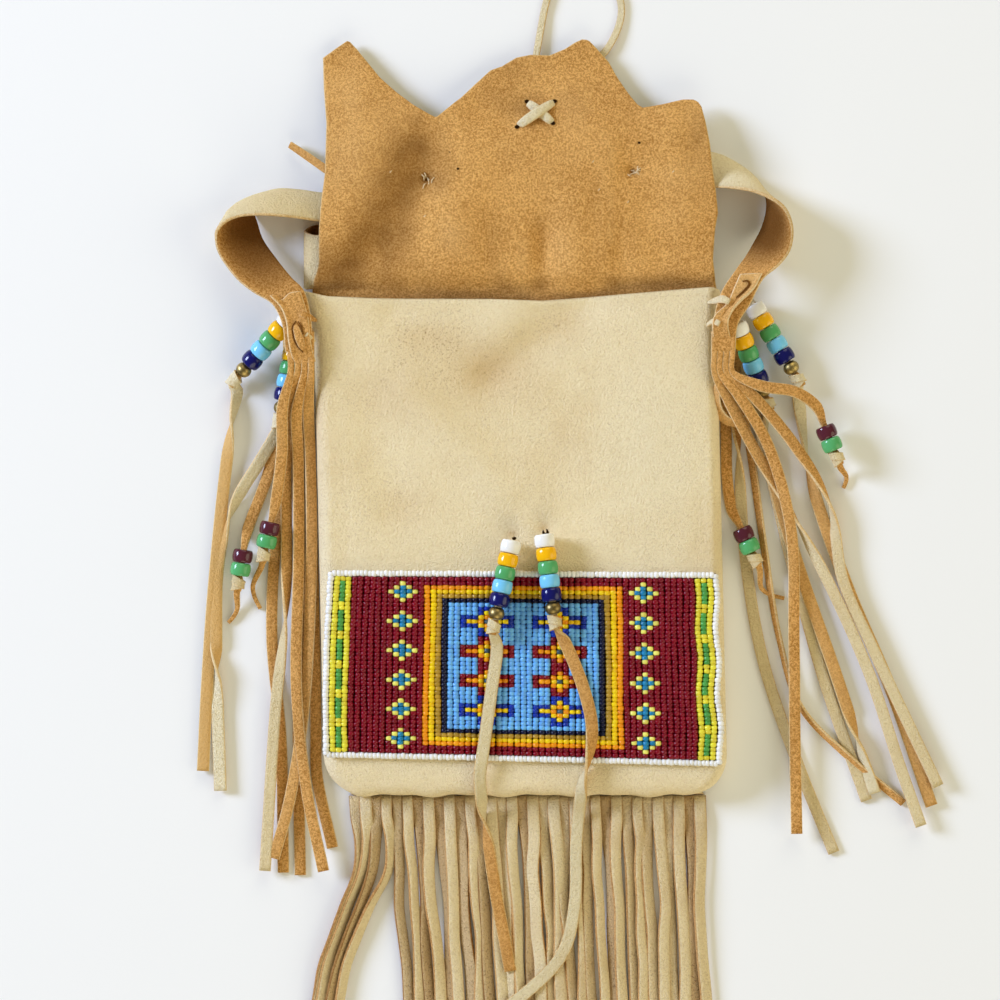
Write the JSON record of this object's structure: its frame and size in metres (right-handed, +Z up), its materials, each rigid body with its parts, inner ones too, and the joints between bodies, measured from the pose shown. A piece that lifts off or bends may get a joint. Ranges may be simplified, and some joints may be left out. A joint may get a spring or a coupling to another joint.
{
  "type": "beaded fringe shoulder bag",
  "caption": "Soft leather shoulder bag with a fold-over flap, folded strap, cut fringe, beaded lace ties and a geometric seed-bead panel on the front.",
  "frame": {"origin": "middle of the back panel's flat outer face, which lies on the resting surface", "axes": "+Z up out of the bag's front, +Y from the bottom seam towards the flap, +X to the right as the front is seen"},
  "size_m": [0.2999, 0.5424, 0.0246],
  "materials": {
    "grain_leather": "smooth grain side, faintly speckled and soft",
    "suede": "flesh side with a soft nap",
    "lace": "flat cut lace, grain side pale and flesh side tan",
    "bead_white": "opaque gloss",
    "bead_yellow": "opaque gloss",
    "bead_green": "opaque gloss",
    "bead_light_blue": "opaque gloss",
    "bead_navy": "opaque gloss",
    "bead_purple": "see-through dark purple gloss",
    "bead_brass": "antiqued",
    "seed_yellow": "opaque glass seed beads",
    "seed_maroon": "dark see-through glass seed beads",
    "seed_gold": "glass seed beads",
    "seed_blue": "opaque glass seed beads",
    "seed_white": "opaque glass seed beads"
  },
  "bodies": {
    "bag": {"back_panel": "grain_leather", "front_panel": "grain_leather", "bottom_fringe": "grain_leather", "strap": "suede", "left_under_fringe": "suede", "right_under_fringe": "suede", "front_lace": "lace", "left_lace": "lace", "right_lace": "lace", "beadwork_yellow_ground": "seed_yellow", "beadwork_red_field": "seed_maroon", "beadwork_gold_frame": "seed_gold", "beadwork_blue_field": "seed_blue", "beadwork_white_edging": "seed_white", "front_left_white_bead": "bead_white", "front_left_yellow_bead": "bead_yellow", "front_left_green_bead": "bead_green", "front_left_light_blue_bead": "bead_light_blue", "front_left_navy_bead": "bead_navy", "front_left_brass_bead": "bead_brass", "front_right_white_bead": "bead_white", "front_right_yellow_bead": "bead_yellow", "front_right_green_bead": "bead_green", "front_right_light_blue_bead": "bead_light_blue", "front_right_navy_bead": "bead_navy", "front_right_brass_bead": "bead_brass", "left_outer_white_bead": "bead_white", "left_outer_yellow_bead": "bead_yellow", "left_outer_green_bead": "bead_green", "left_outer_light_blue_bead": "bead_light_blue", "left_outer_navy_bead": "bead_navy", "left_outer_brass_bead": "bead_brass", "left_inner_white_bead": "bead_white", "left_inner_yellow_bead": "bead_yellow", "left_inner_green_bead": "bead_green", "left_inner_light_blue_bead": "bead_light_blue", "left_inner_navy_bead": "bead_navy", "left_inner_brass_bead": "bead_brass", "right_inner_white_bead": "bead_white", "right_inner_yellow_bead": "bead_yellow", "right_inner_green_bead": "bead_green", "right_inner_light_blue_bead": "bead_light_blue", "right_inner_navy_bead": "bead_navy", "right_inner_brass_bead": "bead_brass", "right_outer_white_bead": "bead_white", "right_outer_yellow_bead": "bead_yellow", "right_outer_green_bead": "bead_green", "right_outer_light_blue_bead": "bead_light_blue", "right_outer_navy_bead": "bead_navy", "right_outer_brass_bead": "bead_brass", "left_under_strip_purple_bead": "bead_purple", "left_under_strip_green_bead": "bead_green", "left_strap_strip_purple_bead": "bead_purple", "left_strap_strip_green_bead": "bead_green", "right_under_strip_purple_bead": "bead_purple", "right_under_strip_green_bead": "bead_green", "right_strap_strip_purple_bead": "bead_purple", "right_strap_strip_green_bead": "bead_green"},
    "flap": {"flap": "suede", "flap_lace": "lace"}
  },
  "joints": [
    {"name": "flap_fold", "type": "hinge", "parent": "bag", "child": "flap", "pos_m": [0, 0.1005, 0.0132], "axis": [1, 0, 0], "range_deg": [0, 175]}
  ]
}
